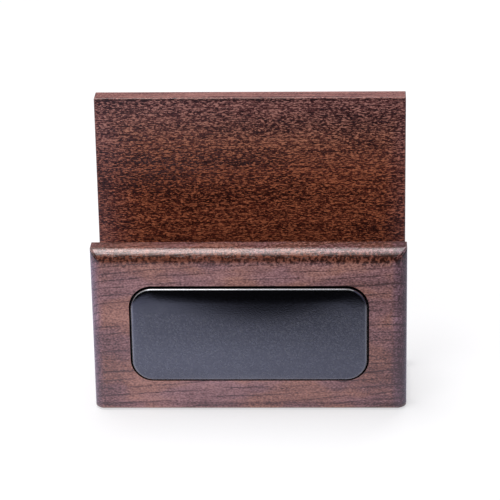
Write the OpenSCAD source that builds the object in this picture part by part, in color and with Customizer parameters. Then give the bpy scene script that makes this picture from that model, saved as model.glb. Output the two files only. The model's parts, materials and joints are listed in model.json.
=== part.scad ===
// Letter holder: a short front board with a padded inlay, a taller back board and
// a base let into both, which leave one open slot for upright letters.
// Millimetres. X runs across the width, Y from front to back and Z up.
// The origin is on the desk, under the middle of the whole holder.

/* [Boards] */
// Width of the holder, shared by the three boards
holder_w = 150; // [110:1:220]
// Height of the front board
front_h = 81; // [64:1:110]
// Thickness of the front board
front_t = 13; // [12:0.5:24]
// Height of the back board
back_h = 140.5; // [100:0.5:200]
// Thickness of the back board
back_t = 10; // [8.5:0.5:18]
// Clear depth of the letter slot between the two boards
slot_d = 37; // [15:1:70]
// Thickness of the base board
base_t = 6; // [4:0.5:12]

/* [Edges] */
// Radius routed along the top and side edges of the front board's face
front_round_r = 6; // [2:0.5:8]
// Radius of the small easing on the other edges of the boards
arris_r = 0.5; // [0.3:0.1:1.5]

/* [Joinery] */
// How far the base is let into the front board
front_rabbet = 7; // [5:0.5:9]
// How far the base is let into the back board
back_rabbet = 7; // [5:0.5:8]
// Distance from the end of the boards to the centre of a base screw
screw_inset = 25; // [20:1:45]
// Shank diameter of a base screw
screw_d = 2.5; // [2:0.1:3.5]
// Head diameter of a base screw
screw_head_d = 5; // [4:0.1:7]
// Length of a base screw, head included
screw_len = 16; // [12:1:25]
// Length of the point of a base screw
screw_tip = 3; // [1.5:0.5:5]
// Depth of a screw head below the underside of the base
screw_sink = 0.2; // [0.1:0.1:1]
// Play between a screw and the wood round it
screw_gap = 0.1; // [0.05:0.05:0.3]
// Width of one arm of the cross drive in a screw head
drive_w = 0.7; // [0.4:0.1:1]
// Span of the cross drive from arm end to arm end
drive_span = 2.6; // [1.8:0.1:3.4]
// Depth of the cross drive
drive_depth = 1; // [0.5:0.1:1.5]

/* [Feet] */
// Diameter of a foot
foot_d = 10; // [6:0.5:13]
// Height of a foot
foot_h = 1; // [0.8:0.1:4]
// Chamfer round the underside of a foot
foot_chamfer = 0.3; // [0.1:0.1:0.6]
// Distance from the end of the base to the centre of a foot
foot_inset_x = 13; // [8:0.5:15]
// Distance from the long edge of the base to the centre of a foot
foot_inset_y = 7; // [6.5:0.5:12]

/* [Inlay] */
// Wood left between the recess and each side of the front board
margin_side = 18; // [10:0.5:35]
// Wood left below the recess
margin_bottom = 14.5; // [8:0.5:20]
// Wood left above the recess
margin_top = 17.5; // [8:0.5:20]
// Corner radius of the recess
recess_r = 11; // [5:0.5:16]
// Depth of the recess in the front board
recess_depth = 4.5; // [3.5:0.1:6]
// Gap between the inlay and the wall of the recess
inlay_gap = 0.9; // [0.3:0.1:1.5]
// Thickness of the inlay's cover
cover_t = 0.7; // [0.4:0.1:1]
// Width of the cover turned in behind the backing
hem_w = 8; // [4:0.5:10]
// Thickness of the stiff backing
backing_t = 2; // [1:0.1:2.5]
// Play between the backing and the cover round it
backing_gap = 0.1; // [0.1:0.05:0.3]
// How far the straight side of the inlay stands out of the recess
edge_lift = 0.2; // [0:0.1:1]
// Radius of the rolled edge of the inlay
edge_r = 1.6; // [1:0.1:2.5]
// Width of the soft shoulder inside the rolled edge
shoulder_run = 6; // [3:0.5:9]
// Rise of the soft shoulder
shoulder_h = 0.6; // [0.2:0.1:1.5]
// Rise of the padded face from its shoulder to its middle
crown_h = 2; // [0.3:0.1:3]
// Space left round each strip of tape
tape_gap = 1.5; // [1:0.1:3]

/* [Hidden] */
$fn = 64;

// How far a cutting shape runs past the surface that it cuts
over = 1;

// The inlay's outline, seen from the front
recess_w = holder_w - 2 * margin_side;
recess_h = front_h - margin_bottom - margin_top;
pad_half_w = recess_w / 2 - inlay_gap;
pad_half_h = recess_h / 2 - inlay_gap;
pad_r = recess_r - inlay_gap;

// The inlay's section: a straight side, a rolled edge, a shoulder and a crown. The roll
// ends at the slope that the shoulder and the crown start with in the middle of a long side.
// The core is the narrow outline in the middle of the face, where the crown is highest
core_half_h = 2;
core_r = 1.8;
least_roll_r = 0.1;
pad_wall = recess_depth + edge_lift;
roll_angle = 90 - atan(2 * shoulder_h / shoulder_run + 2 * crown_h / pad_half_h);
roll_inset = edge_r * (1 - cos(roll_angle));
roll_h = edge_r * sin(roll_angle);
shoulder_top = pad_wall + roll_h + shoulder_h;
crown_half_w = pad_half_w - roll_inset;
crown_half_h = pad_half_h - roll_inset;
pad_h = shoulder_top + crown_at(0, core_half_h);
corner_steps = 6;
side_steps = 8;
roll_steps = 4;
shoulder_steps = 3;
crown_steps = 4;

// Places from front to back
depth_all = front_t + slot_d + back_t + pad_h - recess_depth;
rear_y = depth_all / 2;
slot_back_y = rear_y - back_t;
slot_front_y = slot_back_y - slot_d;
face_y = slot_front_y - front_t;
recess_floor_y = face_y + recess_depth;
base_front_y = slot_front_y - front_rabbet;
base_back_y = slot_back_y + back_rabbet;

// Places above the desk
wood_z = foot_h;
inlay_z = wood_z + margin_bottom + recess_h / 2;

// Centres of the screws and feet
screw_x = holder_w / 2 - screw_inset;
screw_front_y = slot_front_y - front_rabbet / 2;
screw_back_y = slot_back_y + back_rabbet / 2;
foot_x = holder_w / 2 - foot_inset_x;
foot_front_y = base_front_y + foot_inset_y;
foot_back_y = base_back_y - foot_inset_y;

// The well inside the turned-in hem, which the two strips of tape share
well_half_w = pad_half_w - cover_t - hem_w;
well_half_h = pad_half_h - cover_t - hem_w;
tape_l = 2 * (well_half_w - tape_gap);
tape_h = well_half_h - 1.5 * tape_gap;
tape_z = (tape_h + tape_gap) / 2;

// Finishes
wood_colour = [0.42, 0.27, 0.24];
cover_colour = [0.12, 0.12, 0.14];
padding_colour = [0.85, 0.82, 0.72];
backing_colour = [0.5, 0.42, 0.32];
tape_colour = [0.9, 0.9, 0.86];
screw_colour = [0.78, 0.76, 0.7];
foot_colour = [0.15, 0.15, 0.15];

// A rectangle from the origin, with a radius for each corner in the order
// low left, low right, high right, high left; a radius of 0 leaves it square
module rounded_rectangle(w, h, radii) {
    corners = [[0, 0], [w, 0], [w, h], [0, h]];
    difference() {
        square([w, h]);
        for (i = [0:3])
            if (radii[i] > 0)
                translate(corners[i])
                    rotate(90 * i)
                        corner_waste(radii[i]);
    }
}

// What a round takes off a corner that lies at the origin
module corner_waste(r) {
    difference() {
        translate([-over, -over])
            square(r + over);
        translate([r, r])
            circle(r);
    }
}

// A block from the origin whose edges are rounded by three outlines that cross:
// plan is seen from above, side from the +X end and face from the front
module outlined_block(size, plan, side, face) {
    intersection() {
        linear_extrude(size.z)
            rounded_rectangle(size.x, size.y, plan);
        rotate([90, 0, 90])
            linear_extrude(size.x)
                rounded_rectangle(size.y, size.z, side);
        translate([0, size.y, 0])
            rotate([90, 0, 0])
                linear_extrude(size.y)
                    rounded_rectangle(size.x, size.z, face);
    }
}

// A flat plate with round corners, lying across the inlay's axis: its back is
// rise in front of the recess floor, and it grows t towards the front
module inlay_plate(half_w, half_h, r, rise, t) {
    translate([-half_w, recess_floor_y - rise, inlay_z - half_h])
        rotate([90, 0, 0])
            linear_extrude(t)
                rounded_rectangle(2 * half_w, 2 * half_h, [r, r, r, r]);
}

// Height of the crown over a point of the padded face, counted from its middle
function crown_at(x, z) =
    crown_h * max(0, 1 - pow(x / crown_half_w, 2)) * max(0, 1 - pow(z / crown_half_h, 2));

// One outline of the padded form, inset from its largest outline: each corner is an arc,
// and the long sides have points between the arcs
function pad_ring(inset, rise, crowned) =
    let (
        half_w = pad_half_w - inset,
        half_h = pad_half_h - inset,
        r = pad_r - (pad_r - core_r) * inset / (pad_half_h - core_half_h),
        arc = function (corner) [
            for (i = [0:corner_steps])
                let (
                    angle = 90 * (corner + i / corner_steps),
                    side = corner == 0 || corner == 3 ? 1 : -1,
                    level = corner < 2 ? 1 : -1
                )
                [side * (half_w - r) + r * cos(angle), level * (half_h - r) + r * sin(angle)]
        ],
        long_side = function (level) [
            for (i = [1:side_steps - 1])
                [level * (half_w - r) * (1 - 2 * i / side_steps), level * half_h]
        ],
        outline = concat(arc(0), long_side(1), arc(1), arc(2), long_side(-1), arc(3))
    )
    [
        for (p = outline)
            let (lift = crowned ? crown_at(p.x, p.y) : 0)
            [p.x, recess_floor_y - rise - lift, inlay_z + p.y]
    ];

// The outlines of the padded form from its back to its middle, taken skin inside its surface
function pad_rings(skin, back_rise) =
    let (
        r = max(edge_r - skin, least_roll_r),
        roll_end = skin + r * (1 - cos(roll_angle)),
        shoulder_end = roll_end + shoulder_run,
        core_inset = pad_half_h - core_half_h
    )
    concat(
        [pad_ring(skin, back_rise, false)],
        [
            for (i = [0:roll_steps])
                let (angle = roll_angle * i / roll_steps)
                pad_ring(skin + r * (1 - cos(angle)), pad_wall + r * sin(angle), false)
        ],
        [
            for (i = [1:shoulder_steps])
                let (share = i / shoulder_steps)
                pad_ring(
                    roll_end + share * shoulder_run,
                    shoulder_top - skin - shoulder_h * pow(1 - share, 2),
                    true
                )
        ],
        [
            for (i = [1:crown_steps])
                let (share = i / crown_steps)
                pad_ring(shoulder_end + share * (core_inset - shoulder_end), shoulder_top - skin, true)
        ]
    );

// The padded form as a closed solid of triangles. An outline's points come in pairs, one
// above the other, so the two ends are closed by rungs between them
module pad_form(skin, back_rise) {
    rings = pad_rings(skin, back_rise);
    count = len(rings[0]);
    last = (len(rings) - 1) * count;
    sides = [
        for (k = [0:len(rings) - 2], i = [0:count - 1])
            let (
                a = k * count + i,
                b = k * count + (i + 1) % count
            )
            each [[a, a + count, b + count], [a, b + count, b]]
    ];
    caps = [
        for (i = [0:count / 2 - 2])
            let (j = count - 1 - i)
            each [
                [i, i + 1, j], [i + 1, j - 1, j],
                [last + j, last + i + 1, last + i], [last + j, last + j - 1, last + i + 1]
            ]
    ];
    polyhedron([for (ring = rings) each ring], concat(sides, caps), convexity = 4);
}

// A countersunk screw that points up, with its head at the origin; grow widens it
module screw_form(grow) {
    head_h = (screw_head_d - screw_d) / 2;
    d = screw_d + 2 * grow;
    head_d = screw_head_d + 2 * grow;
    cylinder(h = head_h, d1 = head_d, d2 = d);
    cylinder(h = screw_len - screw_tip, d = d);
    translate([0, 0, screw_len - screw_tip])
        cylinder(h = screw_tip, d1 = d, d2 = d / 4);
}

// The hole for one screw: its form with play, open to the underside of the base
module screw_hole(x, y) {
    translate([x, y, wood_z + screw_sink])
        screw_form(screw_gap);
    translate([x, y, wood_z - over])
        cylinder(h = over + screw_sink, d = screw_head_d + 2 * screw_gap);
}

module screw_holes() {
    for (side = [-1, 1]) {
        screw_hole(side * screw_x, screw_front_y);
        screw_hole(side * screw_x, screw_back_y);
    }
}

// The front board: three edges of its face are rounded over, and the face holds the inlay
module front_board() {
    big = front_round_r;
    small = arris_r;
    color(wood_colour)
        difference() {
            translate([-holder_w / 2, face_y, wood_z])
                outlined_block(
                    [holder_w, front_t, front_h],
                    plan = [big, big, small, small],
                    side = [small, 0, small, big],
                    face = [small, small, small, small]
                );
            inlay_plate(recess_w / 2, recess_h / 2, recess_r, 0, recess_depth + over);
            base_block();
            screw_holes();
        }
}

// The back board: square with eased edges
module back_board() {
    r = arris_r;
    color(wood_colour)
        difference() {
            translate([-holder_w / 2, slot_back_y, wood_z])
                outlined_block(
                    [holder_w, back_t, back_h],
                    plan = [r, r, r, r],
                    side = [0, r, r, r],
                    face = [r, r, r, r]
                );
            base_block();
            screw_holes();
        }
}

// The space that the base fills, let into both boards
module base_block() {
    translate([-holder_w / 2 - over, base_front_y, wood_z - over])
        cube([holder_w + 2 * over, base_back_y - base_front_y, base_t + over]);
}

// The base board, flush with the boards underneath and at both ends, which are eased
module base_board() {
    r = arris_r;
    color(wood_colour)
        difference() {
            translate([-holder_w / 2, base_front_y, wood_z])
                outlined_block(
                    [holder_w, base_back_y - base_front_y, base_t],
                    plan = [0, 0, 0, 0],
                    side = [0, 0, 0, 0],
                    face = [r, r, r, r]
                );
            screw_holes();
        }
}

// The cover: one skin over the padding, round the backing and turned in behind it
module inlay_cover() {
    color(cover_colour)
        difference() {
            pad_form(0, 0);
            pad_form(cover_t, cover_t);
            inlay_plate(well_half_w, well_half_h, tape_gap, -over, over + 2 * cover_t);
        }
}

// The soft padding between the backing and the cover
module inlay_padding() {
    color(padding_colour)
        pad_form(cover_t, cover_t + backing_t);
}

// The stiff backing that the cover is drawn over
module inlay_backing() {
    inset = cover_t + backing_gap;
    color(backing_colour)
        inlay_plate(pad_half_w - inset, pad_half_h - inset, pad_r - inset, cover_t, backing_t);
}

// A strip of tape that holds the backing to the floor of the recess
module inlay_tape(level) {
    color(tape_colour)
        translate([-tape_l / 2, recess_floor_y - cover_t, inlay_z + level * tape_z - tape_h / 2])
            cube([tape_l, cover_t, tape_h]);
}

// A screw through the base, into the board above it
module base_screw(x, y) {
    color(screw_colour)
        translate([x, y, wood_z + screw_sink])
            difference() {
                screw_form(0);
                for (turn = [0, 90])
                    rotate(turn)
                        translate([-drive_span / 2, -drive_w / 2, -over])
                            cube([drive_span, drive_w, over + drive_depth]);
            }
}

// A round foot stuck under the base
module foot(x, y) {
    color(foot_colour)
        translate([x, y, 0]) {
            cylinder(h = foot_chamfer, d1 = foot_d - 2 * foot_chamfer, d2 = foot_d);
            translate([0, 0, foot_chamfer])
                cylinder(h = foot_h - foot_chamfer, d = foot_d);
        }
}

front_board();
back_board();
base_board();
inlay_cover();
inlay_padding();
inlay_backing();
inlay_tape(1);  // inlay_tape_upper
inlay_tape(-1);  // inlay_tape_lower
base_screw(-screw_x, screw_front_y);  // screw_front_left
base_screw(screw_x, screw_front_y);  // screw_front_right
base_screw(-screw_x, screw_back_y);  // screw_back_left
base_screw(screw_x, screw_back_y);  // screw_back_right
foot(-foot_x, foot_front_y);  // foot_front_left
foot(foot_x, foot_front_y);  // foot_front_right
foot(-foot_x, foot_back_y);  // foot_back_left
foot(foot_x, foot_back_y);  // foot_back_right
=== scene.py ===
"""Looks of the letter holder: stained wood, a padded leatherette inlay, fittings, light and camera."""
import json
import math

import bpy
from mathutils import Matrix, Quaternion, Vector

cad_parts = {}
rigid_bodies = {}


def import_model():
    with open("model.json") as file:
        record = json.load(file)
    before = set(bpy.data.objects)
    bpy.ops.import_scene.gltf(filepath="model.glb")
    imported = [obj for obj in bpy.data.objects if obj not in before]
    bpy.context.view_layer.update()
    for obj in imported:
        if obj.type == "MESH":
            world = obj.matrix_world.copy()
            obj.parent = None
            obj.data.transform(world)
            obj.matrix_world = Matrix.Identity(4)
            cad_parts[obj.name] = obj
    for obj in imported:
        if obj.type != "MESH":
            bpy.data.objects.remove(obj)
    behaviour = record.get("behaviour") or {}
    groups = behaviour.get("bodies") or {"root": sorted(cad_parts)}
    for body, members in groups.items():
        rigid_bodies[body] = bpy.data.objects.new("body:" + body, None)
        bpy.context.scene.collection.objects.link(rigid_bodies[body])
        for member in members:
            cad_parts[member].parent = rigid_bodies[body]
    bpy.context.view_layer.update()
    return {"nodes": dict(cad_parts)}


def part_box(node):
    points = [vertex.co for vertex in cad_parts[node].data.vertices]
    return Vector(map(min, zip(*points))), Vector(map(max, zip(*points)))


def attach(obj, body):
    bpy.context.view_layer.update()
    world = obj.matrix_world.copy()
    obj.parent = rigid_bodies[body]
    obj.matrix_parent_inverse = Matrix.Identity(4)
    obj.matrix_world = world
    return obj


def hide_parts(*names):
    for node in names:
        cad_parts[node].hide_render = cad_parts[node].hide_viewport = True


for leftover in list(bpy.data.objects):
    bpy.data.objects.remove(leftover)
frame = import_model()
nodes = frame["nodes"]
scene = bpy.context.scene
MM = 0.001

# The padded inlay, in millimetres: the same values as the part's source
PAD_HALF_W = 56.1
PAD_HALF_H = 23.6
PAD_R = 10.1
RECESS_DEPTH = 4.5
COVER_T = 0.7
HEM_W = 8.0
HEM_R = 1.5
BACKING_T = 2.0
EDGE_LIFT = 0.2
EDGE_R = 1.6
SHOULDER_RUN = 6.0
SHOULDER_H = 0.6
CROWN_H = 2.0
CORE_HALF_H = 2.0
CORE_R = 1.8
FOLD_R = 0.5
FOAM_PLAY = 0.03

# How finely the inlay's outlines are divided
FOLD_STEPS = 4
CORNER_STEPS = 14
LONG_STEPS = 56
SHORT_STEPS = 14
ROLL_STEPS = 10
SHOULDER_STEPS = 10
CROWN_STEPS = 16

# The camera, fitted to the photograph: places in millimetres from the front board's face and foot
IMAGE_SIDE = 500
SENSOR_W = 36.0
FOCAL_PX = 2514.19
CENTRE_X_PX = 275.858
CENTRE_Y_PX = 250.0
CAMERA_X = 48.6809
CAMERA_AHEAD = 1097.21
CAMERA_UP = 515.004
PITCH = 0.375847
YAW = -0.0322958
ROLL = 0.0140022

# Figures of the wood: cycles per millimetre along the grain and across it, then detail and roughness
WANDER = (0.009, 0.02, 1.0, 0.5)
RIPPLE = (0.05, 0.14, 2.0, 0.5)
BREAKS = (0.06, 0.45, 2.0, 0.6)
STREAKS = (0.07, 0.8, 3.0, 0.6)
SPECKLES = (0.95, 1.55, 1.0, 0.5)
DASHES = (0.18, 1.7, 2.0, 0.6)
FLECKS = (0.70, 2.6, 2.0, 0.65)
CLOUDS = (0.03, 0.07, 2.0, 0.5)
BANDS = (0.014, 0.20, 2.0, 0.5)
MOTTLES = (0.70, 0.55, 3.0, 0.65)
WEAR_GLINT_PATCHES = (0.12, 0.3, 3.0, 0.6)
FLECK_SHIFT = (13.0, 7.0, 29.0)

# Spans of a figure's value, from where what it draws begins to where it is full
RING_DARKENS = (0.74, 0.92)
RING_ENDS = (1.0, 0.96)
RING_UNBROKEN = (0.38, 0.54)
DASH_SHOWS = (0.54, 0.70)
FLECK_SHOWS = (0.46, 0.64)
MOTTLE_SHOWS = (0.38, 0.64)
COOL_SHOWS = (0.58, 0.42)
WEAR_GLINT_SHOWS = (0.36, 0.58)

# Tones of the flecks and mottles, from their darkest to their lightest
FLECK_TONES = (-0.62, 1.35)
MOTTLE_TONES = (-1.2, 0.9)

# Spans of a part of the normal, which tell the surfaces of a board apart
FACING = (0.90, 0.98)
FLAT_TOP = (0.86, 0.98)
BELOW_SHINE = (0.90, 0.62)
TURNED_SIDEWAYS = (0.02, 0.80)
NOT_AN_END = (0.99, 0.92)

# How far the growth rings move, in millimetres: for each millimetre of depth, and with two slow noises
RING_LEAN = 0.6
WANDER_DEPTH = 12.0
RIPPLE_DEPTH = 2.0

# Spans of tone, painted shade and painted sheen below a board's top, in millimetres, from where each begins
# to where it is full
BAND_SHADE_SPAN = (7.7, 4.3)
MOTTLE_SPAN = (9.0, 5.5)
WARM_SHADE_SPAN = (12.0, 40.0)
SHEEN_TOP = (26.0, 0.0)

# Such spans above a board's foot: the rings' slant, and painted shade and painted light
SLANT_SPAN = (12.0, 40.0)
LOWER_SIDE_SHADE_SPAN = (48.0, 34.0)
PAINTED_LIGHT_SPAN = (22.0, 10.0)

# Such spans along X, from the middle: the mottle's, and those of painted shade and painted light
MOTTLE_ALONG = (-25.0, 25.0)
RIGHT_SHADE = (10.0, 68.0)
RIGHT_RIM_SHADE = (66.0, 70.5)
LEFT_SHADE = (-50.0, -70.0)
LOWER_SIDE_SHADE = (48.0, 64.0)
PAINTED_LIGHT_RIGHT = (15.0, -35.0)
PAINTED_LIGHT_LEFT = (-68.0, -54.0)

# Such spans from a board's left end, its right end, its face and its nearest edge: painted sheen, the
# painted band's depth, and the worn edge with its painted highlight
SHEEN_LEFT = (24.0, 0.0)
SHEEN_RIGHT = (12.0, 0.0)
ROUND_BACK = (7.0, 6.0)
WORN_GLINT_EDGE = (0.8, 0.1)

# Half the width over which a dark line along a face fades, in millimetres
DARK_LINE_SOFT = 0.4

# The front board's rounded edge and the width of its mitres, in millimetres, and their weight in the relief
ROUND_R = 6.0
MITRE_W = 1.7
MITRE_DEPTH = 4.0

# The recess painted black as painted shade, in millimetres: its reach round the backing, behind the face
# and past the floor
RECESS_REACH = (3.0, 2.5)
RECESS_LIP = (0.02, 0.12)
RECESS_END = (0.5, 0.2)

# The leatherette's grain: its cells and slow change per millimetre, and the bowed line above which its
# painted glints fade
PEBBLES = 1.9
FINE_PEBBLES = 2.6
BROAD_CHANGE = 0.12
GLINT_BOW = 0.0040
GLINT_RISE = 5.5
GLINT_FADE = (14.0, 3.0)

# Spans of a part of the leatherette's normal, and of the slow change, where its edge is rubbed grey with a
# painted sheen, and where it is burnished
ROLLED = (0.985, 0.86)
NOT_UPWARD = (0.20, 0.0)
RUB_SHEEN_SHOWS = (0.30, 0.55)
BURNISHED = (0.35, 0.60)


def rgb(red, green, blue):
    return (red, green, blue, 1.0)


# Tones of the boards from dark to light, and the hues multiplied or blended over them: cool for patches and
# painted sheen, warm, band and recess for painted shade, rubbed for wear and a painted highlight
FRONT_TONES = ((0.075, 0.024, 0.016), (0.265, 0.108, 0.086), (0.50, 0.235, 0.185))
BACK_TONES = ((0.026, 0.007, 0.006), (0.145, 0.038, 0.027), (0.49, 0.200, 0.120))
COOL_HUE_AND_SHEEN = rgb(0.90, 1.08, 1.75)
WARM_SHADE_HUE = rgb(0.88, 0.64, 0.48)
BAND_SHADE_HUE = rgb(0.42, 0.28, 0.20)
RUBBED_WOOD_GLINT = rgb(0.34, 0.20, 0.17)
RECESS_SHADE_BLACK = rgb(0.002, 0.0018, 0.0018)

# Colours of the leatherette, with painted glints of its grain and a painted sheen on its rubbed edge
LEATHER_BLACK = rgb(0.0015, 0.0015, 0.0020)
GLINT_BLUE = rgb(0.056, 0.058, 0.082)
GLINT_GREY = rgb(0.062, 0.062, 0.060)
RUBBED_LEATHER_SHEEN = rgb(0.15, 0.155, 0.175)


class Graph:
    """Adds shader nodes to one material or world and links them."""

    def __init__(self, owner):
        owner.use_nodes = True
        self.tree = owner.node_tree
        self.tree.nodes.clear()

    def put(self, socket, value):
        if isinstance(value, bpy.types.NodeSocket):
            self.tree.links.new(value, socket)
        else:
            socket.default_value = value

    def add(self, kind, inputs=None, **settings):
        node = self.tree.nodes.new(kind)
        for name, value in settings.items():
            setattr(node, name, value)
        for name, value in (inputs or {}).items():
            self.put(node.inputs[name], value)
        return node

    def math(self, operation, *values):
        node = self.add("ShaderNodeMath", operation=operation)
        for socket, value in zip(node.inputs, values):
            self.put(socket, value)
        return node.outputs[0]

    def times(self, first, *others):
        """The product of the values."""
        for value in others:
            first = self.math("MULTIPLY", first, value)
        return first

    def plus(self, start, *pairs):
        """The start plus each value times its weight."""
        for value, weight in pairs:
            start = self.math("MULTIPLY_ADD", value, weight, start)
        return start

    def largest(self, first, *others):
        for value in others:
            first = self.math("MAXIMUM", first, value)
        return first

    def centred(self, noise):
        """A noise of 0 to 1, counted from its middle."""
        return self.math("SUBTRACT", noise, 0.5)

    def vector(self, operation, *values):
        node = self.add("ShaderNodeVectorMath", operation=operation)
        for socket, value in zip(node.inputs, values):
            self.put(socket, value)
        return node.outputs[0]

    def scaled(self, vector, factor):
        node = self.add("ShaderNodeVectorMath", {"Scale": factor}, operation="SCALE")
        self.put(node.inputs[0], vector)
        return node.outputs[0]

    def parts(self, vector):
        return self.add("ShaderNodeSeparateXYZ", {"Vector": vector}).outputs

    def noise(self, vector, detail=2.0, roughness=0.5):
        inputs = {"Vector": vector, "Scale": 1.0, "Detail": detail, "Roughness": roughness}
        return self.add("ShaderNodeTexNoise", inputs).outputs[0]

    def cells(self, vector):
        node = self.add("ShaderNodeTexVoronoi", {"Vector": vector, "Scale": 1.0})
        return node.outputs["Distance"], node.outputs["Color"]

    def step(self, value, low, high, start=0.0, end=1.0):
        """A smooth change from start to end while the value goes from low to high."""
        inputs = {"Value": value, "From Min": low, "From Max": high, "To Min": start, "To Max": end}
        return self.add("ShaderNodeMapRange", inputs, interpolation_type="SMOOTHSTEP").outputs[0]

    def blend(self, factor, first, second, mode="MIX"):
        node = self.add("ShaderNodeMix", data_type="RGBA", blend_type=mode)
        for name, value in (("Factor_Float", factor), ("A_Color", first), ("B_Color", second)):
            socket = next(s for s in node.inputs if s.identifier == name)
            self.put(socket, value)
        return next(s for s in node.outputs if s.identifier == "Result_Color")

    def bump(self, relief, strength, depth):
        """A normal bent by a relief whose depth is in millimetres."""
        inputs = {"Strength": strength, "Distance": depth * MM, "Height": relief}
        return self.add("ShaderNodeBump", inputs).outputs["Normal"]

    def normal(self):
        return self.add("ShaderNodeNewGeometry").outputs["Normal"]

    def place(self):
        """The point on the surface in millimetres of the shared frame."""
        point = self.add("ShaderNodeTexCoord").outputs["Object"]
        return self.scaled(point, 1 / MM)

    def finish(self, shader):
        output = self.add("ShaderNodeOutputMaterial")
        self.put(output.inputs["Surface"], shader.outputs[0])


def new_material(name):
    material = bpy.data.materials.new(name)
    return material, Graph(material)


def node_box(name):
    """The lowest and highest corners of a node, in millimetres."""
    low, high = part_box(name)
    return low / MM, high / MM


def edge_distance(graph, point, low, high):
    """How far a point of a board's surface is from the nearest edge of the board, in millimetres."""
    middle = (low + high) / 2
    half = (high - low) / 2
    offset = graph.vector("ABSOLUTE", graph.vector("SUBTRACT", point, middle))
    depth = graph.parts(graph.vector("SUBTRACT", half, offset))
    least = graph.math("MINIMUM", depth[0], depth[1])
    most = graph.math("MAXIMUM", depth[0], depth[1])
    return graph.math("MAXIMUM", least, graph.math("MINIMUM", most, depth[2]))


def figure(graph, point, kind, shift=None):
    """Noise that is drawn out along the grain."""
    along, across, detail, roughness = kind
    stretched = graph.vector("MULTIPLY", point, (along, across, across))
    if shift:
        stretched = graph.vector("ADD", stretched, shift)
    return graph.noise(stretched, detail, roughness)


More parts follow.
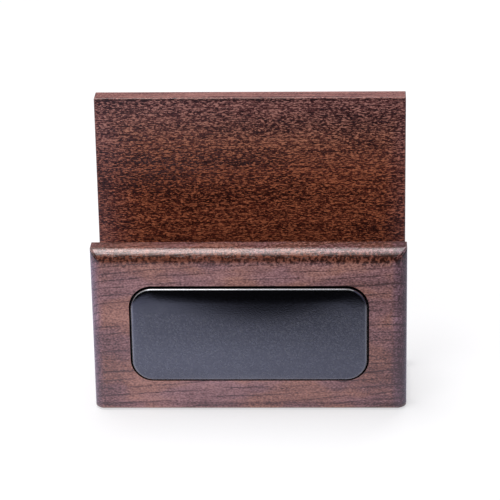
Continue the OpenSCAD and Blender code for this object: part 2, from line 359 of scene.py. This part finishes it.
def wood_material(name, board, look):
    """Fine stained hardwood under satin lacquer, with its grain along X, and painted shade, sheen and
    highlights.
    """
    low, high = node_box(board)
    material, graph = new_material(name)
    point = graph.place()
    x, y, z = graph.parts(point)
    height = graph.math("SUBTRACT", z, low.z)
    down = graph.math("SUBTRACT", high.z, z)
    behind = graph.math("SUBTRACT", y, low.y)
    from_left = graph.math("SUBTRACT", x, low.x)
    from_right = graph.math("SUBTRACT", high.x, x)
    from_middle = graph.math("ABSOLUTE", x)

    # The kinds of surface, told apart by their normals
    normal = graph.parts(graph.vector("ABSOLUTE", graph.normal()))
    facing = graph.step(normal[1], *FACING)
    flat_top = graph.step(normal[2], *FLAT_TOP)
    calm = graph.step(flat_top, 0.0, 1.0, 1.0, 0.45)
    below_shine = graph.step(normal[2], *BELOW_SHINE)
    # The band under the rounded top's shine, where painted shade darkens the wood
    band_shade = graph.times(graph.step(down, *BAND_SHADE_SPAN), below_shine, graph.step(behind, *ROUND_BACK))
    round_side = graph.times(graph.step(normal[0], *TURNED_SIDEWAYS), graph.step(normal[0], *NOT_AN_END))

    # Growth rings: thin dark lines that slant most near the foot, broken into dashes
    wander = figure(graph, point, WANDER)
    ripple = figure(graph, point, RIPPLE)
    tilt = graph.step(height, *SLANT_SPAN, look["slant"], 0.5 * look["slant"])
    rise = graph.math("SUBTRACT", z, graph.times(x, tilt))
    rise = graph.plus(rise, (y, RING_LEAN), (wander, WANDER_DEPTH), (ripple, RIPPLE_DEPTH))
    share = graph.math("FRACT", graph.math("DIVIDE", rise, look["ring_gap"]))
    unbroken = graph.step(figure(graph, point, BREAKS), *RING_UNBROKEN)
    line = graph.times(graph.step(share, *RING_DARKENS), graph.step(share, *RING_ENDS), unbroken)

    # Streaks, speckles, dashes and flecks, all drawn out along the grain
    streak = figure(graph, point, STREAKS)
    speckle = figure(graph, point, SPECKLES)
    dash = graph.step(figure(graph, point, DASHES), *DASH_SHOWS)
    fleck = graph.step(figure(graph, point, FLECKS, FLECK_SHIFT), *FLECK_SHOWS, *FLECK_TONES)
    fleck = graph.times(fleck, calm)

    # Slow changes of tone, and a mottled figure along the top edge, strongest to the right
    cloud = figure(graph, point, CLOUDS)
    band = figure(graph, point, BANDS)
    mottle = graph.step(figure(graph, point, MOTTLES), *MOTTLE_SHOWS, *MOTTLE_TONES)
    mottle = graph.times(mottle, graph.step(down, *MOTTLE_SPAN), graph.step(x, *MOTTLE_ALONG, 0.65, 1.0))
    mottle = graph.times(mottle, graph.math("ADD", band_shade, 1.0))

    # A dark line along the face: painted shade just above the front board's foot, and a dark line just
    # under the tall board's top edge
    line_low, line_high = look["dark_line"]
    dark_line = graph.step(height, line_low - DARK_LINE_SOFT, line_low + DARK_LINE_SOFT)
    dark_line = graph.times(dark_line, graph.step(height, line_high + DARK_LINE_SOFT, line_high - DARK_LINE_SOFT), facing)

    # Painted shade and painted light: the front board is darker towards its sides, most at the right, and
    # pale low on the left, as the light falls off across it
    painted_light_falloff = look["painted_light_falloff"]
    right_rim_shade = graph.step(x, *RIGHT_RIM_SHADE)
    lower_side_shade = graph.times(graph.step(from_middle, *LOWER_SIDE_SHADE), graph.step(height, *LOWER_SIDE_SHADE_SPAN))
    painted_light = graph.times(graph.step(x, *PAINTED_LIGHT_RIGHT), graph.step(x, *PAINTED_LIGHT_LEFT))
    painted_light = graph.times(painted_light, graph.step(height, *PAINTED_LIGHT_SPAN))

    tone = graph.plus(
        look["middle"],
        (graph.centred(streak), 0.35),
        (graph.times(graph.centred(speckle), calm), look["speckles"]),
        (graph.centred(cloud), 0.5),
        (graph.centred(band), 0.7),
        (line, look["lines"]),
        (dash, look["dashes"]),
        (fleck, look["flecks"]),
        (mottle, look["mottling"]),
        (dark_line, -0.30),
        (round_side, -0.16),
        (graph.step(x, *RIGHT_SHADE), -0.16 * painted_light_falloff),
        (graph.step(x, *LEFT_SHADE), -0.13 * painted_light_falloff),
        (right_rim_shade, -0.16 * painted_light_falloff),
        (lower_side_shade, -0.11 * painted_light_falloff),
        (painted_light, 0.17 * painted_light_falloff),
        (flat_top, look["top_lift"]),
    )
    ramp = graph.add("ShaderNodeValToRGB", {"Fac": tone})
    dark, middle, light = look["tones"]
    stops = ramp.color_ramp.elements
    stops[0].color = rgb(*dark)
    stops[1].color = rgb(*light)
    stops.new(0.5).color = rgb(*middle)

    # A cooler hue: in patches of the wood's own tone, and as painted sheen on rounded sides, at the front
    # board's right rim and, on the tall board, towards its edges
    sheen_rim = graph.step(down, *SHEEN_TOP)
    sheen_rim = graph.largest(sheen_rim, graph.step(from_left, *SHEEN_LEFT), graph.step(from_right, *SHEEN_RIGHT))
    cool_and_sheen = graph.largest(
        graph.times(graph.step(cloud, *COOL_SHOWS), look["cool_patches"]),
        graph.times(sheen_rim, look["rim_sheen"]),
        round_side,
        graph.times(right_rim_shade, painted_light_falloff),
    )
    finished = graph.blend(cool_and_sheen, ramp.outputs["Color"], COOL_HUE_AND_SHEEN, "MULTIPLY")

    # Painted shade: a darker, warmer hue lower on the tall board, and a dark band under the shine of the
    # rounded top
    warm_shade = graph.times(graph.step(down, *WARM_SHADE_SPAN), look["warm_shade_weight"])
    finished = graph.blend(warm_shade, finished, WARM_SHADE_HUE, "MULTIPLY")
    finished = graph.blend(graph.times(band_shade, look["band_shade_weight"]), finished, BAND_SHADE_HUE, "MULTIPLY")

    # Edges rubbed a little lighter and duller: wear, and a painted highlight along the arrises
    edge = edge_distance(graph, point, low, high)
    patchy = graph.step(figure(graph, point, WEAR_GLINT_PATCHES), *WEAR_GLINT_SHOWS)
    wear_and_glint = graph.times(graph.step(edge, *WORN_GLINT_EDGE), patchy)
    finished = graph.blend(graph.times(wear_and_glint, 0.5), finished, RUBBED_WOOD_GLINT)
    roughness = graph.plus(0.22, (streak, 0.12), (wear_and_glint, 0.15))
    relief = graph.plus(graph.times(streak, 0.4), (dash, -0.30), (speckle, 0.35))

    # The inlaid board's mitred corners sanded soft, and its recess painted black as painted shade
    if look["inlaid"]:
        from_side = graph.math("SUBTRACT", high.x, from_middle)
        apart = graph.math("ABSOLUTE", graph.math("SUBTRACT", from_side, down))
        crest = graph.math("POWER", graph.step(apart, MITRE_W, 0.0), 2.0)
        crest = graph.times(crest, graph.step(down, ROUND_R, 0.0))
        crest = graph.times(crest, graph.step(behind, ROUND_R, 0.8 * ROUND_R))
        relief = graph.plus(relief, (crest, -MITRE_DEPTH))
        recess_shade = recess_mask(graph, x, z, behind)
        finished = graph.blend(recess_shade, finished, RECESS_SHADE_BLACK)
        roughness = graph.plus(roughness, (recess_shade, 0.4))

    graph.finish(graph.add("ShaderNodeBsdfPrincipled", {
        "Base Color": finished,
        "Roughness": roughness,
        "IOR": 1.5,
        "Specular IOR Level": look["gloss"],
        "Specular Tint": rgb(1.0, 0.98, 1.0),
        "Normal": graph.bump(relief, strength=0.7, depth=0.2),
    }))
    return material


def recess_mask(graph, x, z, behind):
    """1 on the walls and floor of the inlay's recess, 0 on the rest of the board."""
    low, high = node_box("inlay_backing")
    middle = (low + high) / 2
    half = (high - low) / 2
    outer, inner = RECESS_REACH
    far, near = RECESS_END
    wide = graph.math("ABSOLUTE", graph.math("SUBTRACT", x, middle.x))
    tall = graph.math("ABSOLUTE", graph.math("SUBTRACT", z, middle.z))
    return graph.times(
        graph.step(wide, half.x + outer, half.x + inner),
        graph.step(tall, half.z + outer, half.z + inner),
        graph.step(behind, *RECESS_LIP),
        graph.step(behind, RECESS_DEPTH + far, RECESS_DEPTH + near),
    )


def leatherette_material():
    """Black grained leatherette with a satin gloss, painted glints in its grain and a painted sheen on its
    rubbed edge.
    """
    material, graph = new_material("leatherette_black")
    point = graph.place()
    pebble, pick = graph.cells(graph.scaled(point, PEBBLES))
    fine = graph.cells(graph.scaled(point, FINE_PEBBLES))[0]
    broad = graph.noise(graph.scaled(point, BROAD_CHANGE))
    relief = graph.plus(graph.times(pebble, -1.0), (fine, -0.35))
    chance, hue = graph.parts(pick)[:2]

    # Painted glints: tiny grey points of the grain's sheen, which fade out above a line that bows up
    # towards the sides, where the reflection is dark
    x, _, z = graph.parts(point)
    bow = graph.math("MINIMUM", graph.times(x, x, GLINT_BOW), GLINT_RISE)
    above = graph.math("SUBTRACT", graph.math("SUBTRACT", z, bow), inlay_z)
    points = graph.times(graph.math("POWER", chance, 2.0), graph.step(above, *GLINT_FADE))
    colour = graph.blend(points, LEATHER_BLACK, graph.blend(hue, GLINT_BLUE, GLINT_GREY))

    # The rolled edge is rubbed grey, as wear and a painted reflection, except along the top, where it is
    # burnished
    normal = graph.parts(graph.normal())
    rolled = graph.step(graph.times(normal[1], -1.0), *ROLLED)
    patchy = graph.step(broad, *RUB_SHEEN_SHOWS, 0.6, 1.0)
    rubbed_and_sheen = graph.times(rolled, graph.step(normal[2], *NOT_UPWARD), patchy)
    colour = graph.blend(rubbed_and_sheen, colour, RUBBED_LEATHER_SHEEN)
    burnished = graph.step(normal[2], *BURNISHED)
    graph.finish(graph.add("ShaderNodeBsdfPrincipled", {
        "Base Color": colour,
        "Roughness": graph.plus(0.15, (broad, 0.04), (pebble, 0.04)),
        "IOR": 1.72,
        "Specular IOR Level": 1.0,
        "Specular Tint": rgb(0.85, 0.87, 1.0),
        "Coat Weight": burnished,
        "Coat Roughness": 0.06,
        "Coat IOR": 2.6,
        "Normal": graph.bump(relief, strength=0.5, depth=0.05),
    }))
    return material


def speckled_material(name, dark, light, grain, roughness, relief, metal=0.0):
    """A plain stuff whose colour, gloss and surface vary, with its grain and relief in millimetres."""
    material, graph = new_material(name)
    point = graph.place()
    fine = graph.noise(graph.scaled(point, 1 / grain), detail=3.0, roughness=0.6)
    broad = graph.noise(graph.scaled(point, 0.1 / grain))
    mixed = graph.plus(graph.times(fine, 0.5), (broad, 0.5))
    graph.finish(graph.add("ShaderNodeBsdfPrincipled", {
        "Base Color": graph.blend(graph.step(mixed, 0.3, 0.7), rgb(*dark), rgb(*light)),
        "Roughness": graph.plus(roughness - 0.1, (fine, 0.2)),
        "Metallic": metal,
        "Normal": graph.bump(fine, strength=0.6, depth=relief),
    }))
    return material


# The padded form: outlines from its back to its middle
face_y = node_box("front_board")[0].y
recess_floor_y = face_y + RECESS_DEPTH
recess_low, recess_high = node_box("inlay_backing")
inlay_z = (recess_low.z + recess_high.z) / 2
PAD_WALL = RECESS_DEPTH + EDGE_LIFT
START_SLOPE = 2 * SHOULDER_H / SHOULDER_RUN + 2 * CROWN_H / PAD_HALF_H
ROLL_ANGLE = math.pi / 2 - math.atan(START_SLOPE)
ROLL_INSET = EDGE_R * (1 - math.cos(ROLL_ANGLE))
SHOULDER_TOP = PAD_WALL + EDGE_R * math.sin(ROLL_ANGLE) + SHOULDER_H


def crown_at(x, z):
    along = 1 - (x / (PAD_HALF_W - ROLL_INSET)) ** 2
    up = 1 - (z / (PAD_HALF_H - ROLL_INSET)) ** 2
    return CROWN_H * max(0.0, along) * max(0.0, up)


def pad_outline(inset, radius=None):
    """Points of one outline, inset from the largest, as (x, z) pairs."""
    half_w = PAD_HALF_W - inset
    half_h = PAD_HALF_H - inset
    r = radius
    if r is None:
        r = PAD_R - (PAD_R - CORE_R) * inset / (PAD_HALF_H - CORE_HALF_H)
    points = []
    for corner, (side, level) in enumerate(((1, 1), (-1, 1), (-1, -1), (1, -1))):
        for i in range(CORNER_STEPS + 1):
            angle = math.pi / 2 * (corner + i / CORNER_STEPS)
            x = side * (half_w - r) + r * math.cos(angle)
            z = level * (half_h - r) + r * math.sin(angle)
            points.append((x, z))
        steps = LONG_STEPS if corner % 2 == 0 else SHORT_STEPS
        for i in range(1, steps):
            way = 1 - 2 * i / steps
            if corner % 2 == 0:
                points.append((level * (half_w - r) * way, level * half_h))
            else:
                points.append((side * half_w, -side * (half_h - r) * way))
    return points


def pad_ring(inset, rise, crowned=False, radius=None):
    ring = []
    for x, z in pad_outline(inset, radius):
        lift = crown_at(x, z) if crowned else 0.0
        ring.append(Vector((x, recess_floor_y - rise - lift, inlay_z + z)) * MM)
    return ring


def pad_face(skin):
    """Outlines of the padded face from its straight side to its middle, skin inside its surface."""
    r = EDGE_R - skin
    roll_end = skin + r * (1 - math.cos(ROLL_ANGLE))
    shoulder_end = roll_end + SHOULDER_RUN
    crown_run = PAD_HALF_H - CORE_HALF_H - shoulder_end
    rings = []
    for i in range(ROLL_STEPS + 1):
        angle = ROLL_ANGLE * i / ROLL_STEPS
        rings.append(pad_ring(skin + r * (1 - math.cos(angle)), PAD_WALL + r * math.sin(angle)))
    for i in range(1, SHOULDER_STEPS + 1):
        share = i / SHOULDER_STEPS
        rise = SHOULDER_TOP - skin - SHOULDER_H * (1 - share) ** 2
        rings.append(pad_ring(roll_end + share * SHOULDER_RUN, rise, True))
    for i in range(1, CROWN_STEPS + 1):
        share = i / CROWN_STEPS
        rings.append(pad_ring(shoulder_end + share * crown_run, SHOULDER_TOP - skin, True))
    return rings


def new_object(name, points, faces, material):
    mesh = bpy.data.meshes.new(name)
    mesh.from_pydata(points, [], faces)
    mesh.materials.append(material)
    piece = bpy.data.objects.new(name, mesh)
    scene.collection.objects.link(piece)
    return piece


def mesh_piece(name, points, faces, material):
    piece = new_object(name, points, faces, material)
    piece.data.polygons.foreach_set("use_smooth", [True] * len(faces))
    piece.data.update()
    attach(piece, "root")
    return piece


def ring_cap(first):
    """Rungs from the upper to the lower side of an outline, which close it towards the front."""
    run = 2 * (CORNER_STEPS + 1) + LONG_STEPS - 1
    gap = SHORT_STEPS - 1
    upper = [first + i for i in range(run)]
    left = [first + run + i for i in range(gap)]
    lower = [first + run + gap + i for i in range(run)]
    right = [first + 2 * run + gap + i for i in range(gap)]
    lower.reverse()
    faces = [[upper[0], upper[1], lower[1], lower[0]] + right]
    for i in range(1, run - 2):
        faces.append([upper[i], upper[i + 1], lower[i + 1], lower[i]])
    faces.append([upper[-2], upper[-1]] + left + [lower[-1], lower[-2]])
    return faces


def loft(name, rings, material):
    """A solid through the outlines, closed across the first and the last."""
    count = len(rings[0])
    points = [point for ring in rings for point in ring]
    faces = [face[::-1] for face in ring_cap(0)]
    for k in range(len(rings) - 1):
        for i in range(count):
            j = (i + 1) % count
            faces.append([k * count + i, k * count + j, (k + 1) * count + j, (k + 1) * count + i])
    faces += ring_cap((len(rings) - 1) * count)
    return mesh_piece(name, points, faces, material)


def cover_rings():
    """The cover's skin: from the middle of its inside, round the turned-in hem, to that of its face."""
    hem = COVER_T + HEM_W
    rings = pad_face(COVER_T)[::-1]
    rings.append(pad_ring(COVER_T, COVER_T))
    rings.append(pad_ring(hem, COVER_T, radius=HEM_R))
    rings.append(pad_ring(hem, 0.0, radius=HEM_R))
    for i in range(FOLD_STEPS + 1):
        angle = math.pi / 2 * i / FOLD_STEPS
        rings.append(pad_ring(FOLD_R * (1 - math.sin(angle)), FOLD_R * (1 - math.cos(angle))))
    return rings + pad_face(0.0)


def foam_rings():
    """The foam between the backing and the cover."""
    skin = COVER_T + FOAM_PLAY
    back = COVER_T + BACKING_T + FOAM_PLAY
    return [pad_ring(skin, back)] + pad_face(skin)


def dress(node, material):
    node.data.materials.clear()
    node.data.materials.append(material)


# Finishes of the boards: the weights of their figures, hues, painted shade and painted sheen, and where a
# dark line runs above the foot
TALL_H = node_box("back_board")[1].z - node_box("back_board")[0].z
BOARDS = {
    "front_board": dict(
        tones=FRONT_TONES, middle=0.65, ring_gap=4.0, slant=0.09, speckles=1.8, lines=-0.48, dashes=-0.18,
        flecks=0.06, mottling=0.42, band_shade_weight=1.0, warm_shade_weight=0.0, painted_light_falloff=1.0, top_lift=-0.22,
        dark_line=(1.4, 3.4), cool_patches=0.5, rim_sheen=0.0, gloss=1.0, inlaid=True),
    "back_board": dict(
        tones=BACK_TONES, middle=0.5, ring_gap=2.2, slant=0.01, speckles=0.9, lines=-0.38, dashes=-0.24,
        flecks=0.52, mottling=0.0, band_shade_weight=0.0, warm_shade_weight=0.9, painted_light_falloff=0.0, top_lift=0.26,
        dark_line=(TALL_H - 1.3, TALL_H - 0.6), cool_patches=0.0, rim_sheen=0.7, gloss=0.5, inlaid=False),
    "base_board": dict(
        tones=BACK_TONES, middle=0.5, ring_gap=2.8, slant=-0.03, speckles=0.8, lines=-0.25, dashes=-0.20,
        flecks=0.20, mottling=0.0, band_shade_weight=0.0, warm_shade_weight=0.0, painted_light_falloff=0.0, top_lift=0.0,
        dark_line=(0.0, 0.0), cool_patches=0.0, rim_sheen=0.0, gloss=0.75, inlaid=False),
}
for board, look in BOARDS.items():
    dress(nodes[board], wood_material("wood_" + board, board, look))

# Finishes of the other pieces, by the start of their names
fittings = {
    "inlay_backing": speckled_material(
        "fibreboard", (0.16, 0.10, 0.06), (0.26, 0.18, 0.11),
        grain=0.8, roughness=0.8, relief=0.08),
    "inlay_tape": speckled_material(
        "tape_white", (0.72, 0.72, 0.66), (0.82, 0.82, 0.77),
        grain=0.5, roughness=0.6, relief=0.02),
    "screw": speckled_material(
        "zinc_plate", (0.50, 0.47, 0.38), (0.72, 0.70, 0.64),
        grain=0.3, roughness=0.32, relief=0.01, metal=1.0),
    "foot": speckled_material(
        "foot_rubber", (0.010, 0.010, 0.010), (0.022, 0.022, 0.021),
        grain=0.25, roughness=0.75, relief=0.04),
}
for name, node in nodes.items():
    for prefix, material in fittings.items():
        if name.startswith(prefix):
            dress(node, material)

cover = loft("cover_leatherette", cover_rings(), leatherette_material())
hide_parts("inlay_cover")
foam_finish = speckled_material(
    "foam_open", (0.60, 0.54, 0.40), (0.74, 0.69, 0.56),
    grain=0.6, roughness=0.95, relief=0.2)
foam = loft("padding_foam", foam_rings(), foam_finish)
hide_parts("inlay_padding")

# The stage, in metres
FLOOR_HALF = 6.0
FLAG_HALF = 3.0
FLAG_LIFT = 0.002
FLAG_FAR = 0.95
FLAG_TOP = 1.5
BACK_TOP = 0.9

# The lying flag's changes, in millimetres: three along Y and four along X, from their start to their end
GROUND_NEAR = (-150.0, -45.0)
GROUND_FAR = (-420.0, -200.0)
GROUND_LIT = (-372.0, -160.0)
GROUND_LEAN = (-115.0, 10.0)
GROUND_SIDE = (-90.0, 60.0)
GROUND_RIGHT = (70.0, 170.0)
GROUND_TINT = (-85.0, -140.0)

# The world's light on the scene, where its white to the camera is 1
WORLD_FILL = 0.28


def seen_ray(graph):
    """1 for the rays that show the background: from the camera, from gloss and through glass."""
    path = graph.add("ShaderNodeLightPath").outputs
    return graph.largest(path["Is Camera Ray"], path["Is Glossy Ray"], path["Is Transmission Ray"])


def lying_square(half, height):
    return [(-half, -half, height), (half, -half, height), (half, half, height), (-half, half, height)]


def standing_card(middle, along, top):
    """Corners of a card that stands on the floor: its middle, the way it runs, and its height."""
    first = tuple(m - FLAG_HALF * a for m, a in zip(middle, along))
    last = tuple(m + FLAG_HALF * a for m, a in zip(middle, along))
    return [(*first, 0.0), (*last, 0.0), (*last, top), (*first, top)]


def stage_piece(name, points, material):
    piece = new_object(name, points, [list(range(len(points)))], material)
    return piece


def flag_piece(name, points, material):
    """A card that only gloss shows, as a photographer's flag."""
    flag = stage_piece(name, points, material)
    flag.visible_camera = False
    flag.visible_diffuse = False
    flag.visible_shadow = False
    flag.visible_transmission = False
    flag.visible_volume_scatter = False


def plain_flag(name, colour):
    material, graph = new_material(name)
    graph.finish(graph.add("ShaderNodeEmission", {"Color": colour}))
    return material


def floor_material():
    """Pale to the light, white to the camera, and dimmed by the object's shadow."""
    material, graph = new_material("floor_white")
    painted_light = graph.add("ShaderNodeBsdfDiffuse", {"Color": rgb(0.50, 0.50, 0.51)})
    glow = graph.add("ShaderNodeEmission", {"Color": rgb(0.55, 0.55, 0.56), "Strength": seen_ray(graph)})
    total = graph.add("ShaderNodeAddShader")
    graph.put(total.inputs[0], painted_light.outputs[0])
    graph.put(total.inputs[1], glow.outputs[0])
    graph.finish(total)
    return material


def ground_material():
    """Clear near the holder, black far ahead, and dimmer to the right."""
    material, graph = new_material("flag_ground")
    x, y = graph.parts(graph.place())[:2]
    near = graph.times(graph.step(y, *GROUND_NEAR, 0.68, 1.18), graph.step(y, *GROUND_FAR, 0.55, 1.0))
    lean = graph.step(x, *GROUND_LEAN, 0.36, 1.22)
    lit = graph.step(graph.times(y, lean), *GROUND_LIT)
    side = graph.times(graph.step(x, *GROUND_SIDE, 1.0, 0.70), graph.step(x, *GROUND_RIGHT, 1.0, 0.60))
    tint = graph.blend(graph.step(x, *GROUND_TINT), rgb(0.80, 0.82, 1.0), rgb(0.74, 0.76, 1.0))
    black = graph.add("ShaderNodeEmission", {"Color": rgb(0.004, 0.004, 0.005)})
    clear = graph.add("ShaderNodeBsdfTransparent", {"Color": tint})
    mix = graph.add("ShaderNodeMixShader", {"Fac": graph.times(near, lit, side)})
    graph.put(mix.inputs[1], black.outputs[0])
    graph.put(mix.inputs[2], clear.outputs[0])
    graph.finish(mix)
    return material


# The floor, a flag that lies on it, and standing flags: black ahead, dark to the right and grey behind
stage_piece("floor", lying_square(FLOOR_HALF, 0.0), floor_material())
flag_piece("flag_ground", lying_square(FLAG_HALF, FLAG_LIFT), ground_material())
flag_piece("flag_ahead", standing_card((0.0, -FLAG_FAR), (1.0, 0.0), FLAG_TOP),
           plain_flag("flag_black", rgb(0.004, 0.004, 0.004)))
flag_piece("flag_right", standing_card((FLAG_FAR, 0.0), (0.0, 1.0), FLAG_TOP),
           plain_flag("flag_dark", rgb(0.18, 0.18, 0.26)))
flag_piece("flag_behind", standing_card((0.0, FLAG_FAR), (1.0, 0.0), BACK_TOP),
           plain_flag("flag_grey", rgb(0.17, 0.15, 0.16)))


def area_lamp(name, size, place, target, radiance, turn=0.0):
    """A soft box that faces a target, turned about its own axis and evenly bright."""
    lamp = bpy.data.lights.new(name, "AREA")
    lamp.shape = "RECTANGLE"
    lamp.size, lamp.size_y = size
    lamp.energy = radiance * math.pi * size[0] * size[1]
    lamp.color = (1.0, 0.99, 0.98)
    box = bpy.data.objects.new(name, lamp)
    way = Vector(target) - Vector(place)
    box.rotation_mode = "QUATERNION"
    box.rotation_quaternion = way.to_track_quat("-Z", "Y") @ Quaternion((0.0, 0.0, 1.0), turn)
    box.location = place
    box.visible_camera = False
    scene.collection.objects.link(box)
    return box


# A soft box and a strip overhead, a frontal fill that gloss doesn't show, and a soft fill from the world
area_lamp("softbox", size=(1.85, 0.58), place=(0.083, 0.513, 1.0), target=(0.083, 0.513, 0.0),
          radiance=2.45, turn=1.0)
area_lamp("strip", size=(0.35, 0.80), place=(-0.225, 0.07, 0.99), target=(-0.225, 0.07, 0.0), radiance=2.4)
fill = area_lamp("fill", size=(1.2, 1.2), place=(-0.7, -1.3, 0.75), target=(0.0, 0.0, 0.05), radiance=2.9)
fill.visible_glossy = False

world = bpy.data.worlds.new("studio")
scene.world = world
graph = Graph(world)
strength = graph.plus(WORLD_FILL, (seen_ray(graph), 1.0 - WORLD_FILL))
background = graph.add("ShaderNodeBackground", {"Color": rgb(1.0, 1.0, 1.0), "Strength": strength})
world_output = graph.add("ShaderNodeOutputWorld")
graph.put(world_output.inputs["Surface"], background.outputs[0])

# The camera, at the photograph's place
foot_z = node_box("front_board")[0].z
ahead = Vector((math.cos(PITCH) * math.sin(YAW), math.cos(PITCH) * math.cos(YAW), -math.sin(PITCH)))
right = Vector((math.cos(YAW), -math.sin(YAW), 0.0))
up = Vector((math.sin(PITCH) * math.sin(YAW), math.sin(PITCH) * math.cos(YAW), math.cos(PITCH)))
turned_right = math.cos(ROLL) * right - math.sin(ROLL) * up
turned_up = math.sin(ROLL) * right + math.cos(ROLL) * up
pose = Matrix((turned_right, turned_up, -ahead)).transposed().to_4x4()
pose.translation = Vector((CAMERA_X, face_y - CAMERA_AHEAD, foot_z + CAMERA_UP)) * MM
lens = bpy.data.cameras.new("camera")
lens.sensor_width = SENSOR_W
lens.lens = FOCAL_PX * SENSOR_W / IMAGE_SIDE
lens.shift_x = (IMAGE_SIDE / 2 - CENTRE_X_PX) / IMAGE_SIDE
lens.shift_y = (CENTRE_Y_PX - IMAGE_SIDE / 2) / IMAGE_SIDE
camera = bpy.data.objects.new("camera", lens)
camera.matrix_world = pose
scene.collection.objects.link(camera)
scene.camera = camera

scene.view_settings.view_transform = "Standard"
